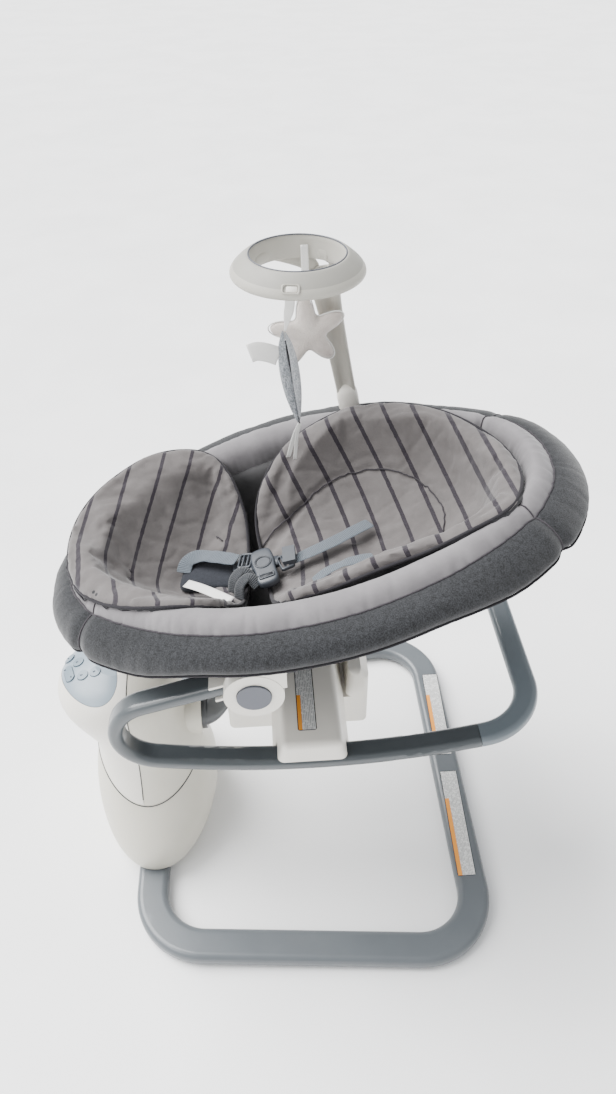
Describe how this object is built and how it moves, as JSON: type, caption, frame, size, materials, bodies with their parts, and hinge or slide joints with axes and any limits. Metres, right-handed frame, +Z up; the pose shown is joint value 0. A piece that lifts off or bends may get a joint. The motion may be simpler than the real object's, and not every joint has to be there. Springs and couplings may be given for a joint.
{
  "type": "baby swing",
  "caption": "Powered baby swing: a padded oval reclining seat on a lift-off rocker, carried by a side tower on a floor loop, with a toy mobile over it.",
  "frame": {"origin": "on the floor under the middle of the seat, centred between the two sides of the floor loop", "axes": "+Z up, +X towards the child's head and away from the tower, +Y towards the mobile's post"},
  "size_m": [0.6867, 0.6186, 0.855],
  "materials": {
    "loop_grey": "painted metal tube, satin",
    "rubber_dark": "matte",
    "shell_white": "fine moulded grain",
    "panel_blue_grey": "smooth",
    "key_light": "smooth",
    "cap_grey": "smooth",
    "arm_dark": "satin",
    "rail_grey": "satin",
    "cross_grey": "satin",
    "bare_steel": "brushed",
    "motor_steel": "brushed",
    "gear_white": "smooth",
    "cell_grey": "satin",
    "board_green": "satin",
    "inlet_black": "satin",
    "fabric_light": "soft knit",
    "fabric_rim": "heather weave",
    "fabric_dark": "woven",
    "webbing": "woven webbing",
    "buckle_grey": "smooth",
    "mobile_greige": "matte",
    "toy_fabric": "heather"
  },
  "bodies": {
    "base": {"base_loop": "loop_grey", "base_feet": "rubber_dark", "tower_lower_housing": "shell_white", "tower_outer_shell": "shell_white", "tower_inner_shell": "shell_white", "tower_bottom_cover": "shell_white", "battery_door": "shell_white", "battery_cells": "cell_grey", "control_panel": "panel_blue_grey", "circuit_board": "board_green", "speaker": "shell_white", "drive_motor": "motor_steel", "gear_bracket": "shell_white", "pivot_bearings": "bare_steel", "tower_screws": "bare_steel", "power_inlet": "inlet_black"},
    "worm": {"drive_worm": "gear_white"},
    "wheel": {"drive_wheel": "gear_white"},
    "power_key": {"power_button": "key_light"},
    "timer_key": {"timer_button": "key_light"},
    "music_key": {"music_button": "key_light"},
    "sound_key": {"sound_button": "key_light"},
    "speed_key": {"speed_rocker": "key_light"},
    "volume_key": {"volume_rocker": "key_light"},
    "arm": {"pivot_shaft": "bare_steel", "swing_arm": "arm_dark", "seat_mount": "shell_white"},
    "latch": {"mount_latch": "cap_grey"},
    "rocker": {"near_rail": "rail_grey", "far_rail": "rail_grey", "head_cross_tube": "cross_grey", "rail_grips": "rubber_dark", "bridge_housing": "shell_white", "bridge_cover": "shell_white", "vibration_motor": "motor_steel", "near_hub_socket": "shell_white", "far_hub_socket": "shell_white", "recline_pins": "bare_steel"},
    "vibration_key": {"vibration_button": "key_light"},
    "seat": {"seat_ring": "bare_steel", "near_seat_bracket": "shell_white", "far_seat_bracket": "shell_white", "rim_cover": "fabric_rim", "seat_pouch": "fabric_dark", "leg_cushion": "fabric_light", "head_cushion": "fabric_light", "shoulder_straps": "webbing", "waist_straps": "webbing", "strap_adjusters": "buckle_grey", "crotch_pad": "webbing", "buckle_body": "buckle_grey", "post_socket": "shell_white"},
    "near_recline_key": {"near_recline_button": "cap_grey"},
    "far_recline_key": {"far_recline_button": "cap_grey"},
    "buckle_key": {"buckle_button": "cap_grey"},
    "mobile": {"mobile_post": "mobile_greige", "mobile_ring": "mobile_greige"},
    "star": {"star_toy": "toy_fabric"},
    "leaf": {"leaf_toy": "toy_fabric"}
  },
  "joints": [
    {"name": "sway", "type": "hinge", "parent": "base", "child": "arm", "pos_m": [-0.15, 0, 0.215], "axis": [1, 0, 0], "range_deg": [-8, 8]},
    {"name": "drive_wheel_spin", "type": "hinge", "parent": "base", "child": "wheel", "pos_m": [-0.205, 0, 0.153], "axis": [1, 0, 0], "continuous": true},
    {"name": "drive_worm_spin", "type": "hinge", "parent": "base", "child": "worm", "pos_m": [-0.207, 0, 0.1194], "axis": [0, 1, 0], "continuous": true},
    {"name": "power_press", "type": "slide", "parent": "base", "child": "power_key", "axis": [0, 0, -1], "range_m": [0, 0.0012], "stiffness_N_per_m": 600, "springref_m": -0.0005},
    {"name": "timer_press", "type": "slide", "parent": "base", "child": "timer_key", "axis": [0, 0, -1], "range_m": [0, 0.0012], "stiffness_N_per_m": 600, "springref_m": -0.0005},
    {"name": "music_press", "type": "slide", "parent": "base", "child": "music_key", "axis": [0, 0, -1], "range_m": [0, 0.0012], "stiffness_N_per_m": 600, "springref_m": -0.0005},
    {"name": "sound_press", "type": "slide", "parent": "base", "child": "sound_key", "axis": [0, 0, -1], "range_m": [0, 0.0012], "stiffness_N_per_m": 600, "springref_m": -0.0005},
    {"name": "speed_press", "type": "slide", "parent": "base", "child": "speed_key", "axis": [0, 0, -1], "range_m": [0, 0.0012], "stiffness_N_per_m": 600, "springref_m": -0.0005},
    {"name": "volume_press", "type": "slide", "parent": "base", "child": "volume_key", "axis": [0, 0, -1], "range_m": [0, 0.0012], "stiffness_N_per_m": 600, "springref_m": -0.0005},
    {"name": "lift_off", "type": "slide", "parent": "arm", "child": "rocker", "axis": [0, 0, 1], "range_m": [0, 0.06]},
    {"name": "latch_press", "type": "slide", "parent": "arm", "child": "latch", "axis": [-1, 0, 0], "range_m": [0, 0.004], "stiffness_N_per_m": 500, "springref_m": -0.001},
    {"name": "vibration_press", "type": "slide", "parent": "rocker", "child": "vibration_key", "axis": [0, 0, -1], "range_m": [0, 0.001], "stiffness_N_per_m": 600, "springref_m": -0.0005},
    {"name": "recline", "type": "hinge", "parent": "rocker", "child": "seat", "pos_m": [-0.061, 0, 0.482], "axis": [0, -1, 0], "range_deg": [0, 12]},
    {"name": "near_recline_press", "type": "slide", "parent": "seat", "child": "near_recline_key", "axis": [0, 1, 0], "range_m": [0, 0.004], "stiffness_N_per_m": 600, "springref_m": -0.001},
    {"name": "far_recline_press", "type": "slide", "parent": "seat", "child": "far_recline_key", "axis": [0, -1, 0], "range_m": [0, 0.004], "stiffness_N_per_m": 600, "springref_m": -0.001},
    {"name": "buckle_press", "type": "slide", "parent": "seat", "child": "buckle_key", "axis": [0.225, 0, -0.9744], "range_m": [0, 0.002], "stiffness_N_per_m": 600, "springref_m": -0.001},
    {"name": "mobile_swivel", "type": "hinge", "parent": "seat", "child": "mobile", "pos_m": [0.082, 0.205, 0.612], "axis": [-0.1821, -0.0824, 0.9798], "range_deg": [-35, 35]},
    {"name": "star_swing", "type": "hinge", "parent": "mobile", "child": "star", "pos_m": [0.0215, 0.16, 0.848], "axis": [0, 1, 0], "range_deg": [-12, 12]},
    {"name": "leaf_swing", "type": "hinge", "parent": "mobile", "child": "leaf", "pos_m": [-0.0015, 0.068, 0.846], "axis": [0, 1, 0], "range_deg": [-12, 12]}
  ],
  "couplings": [
    {"joint": "drive_worm_spin", "follows": "drive_wheel_spin", "ratio": 24}
  ]
}
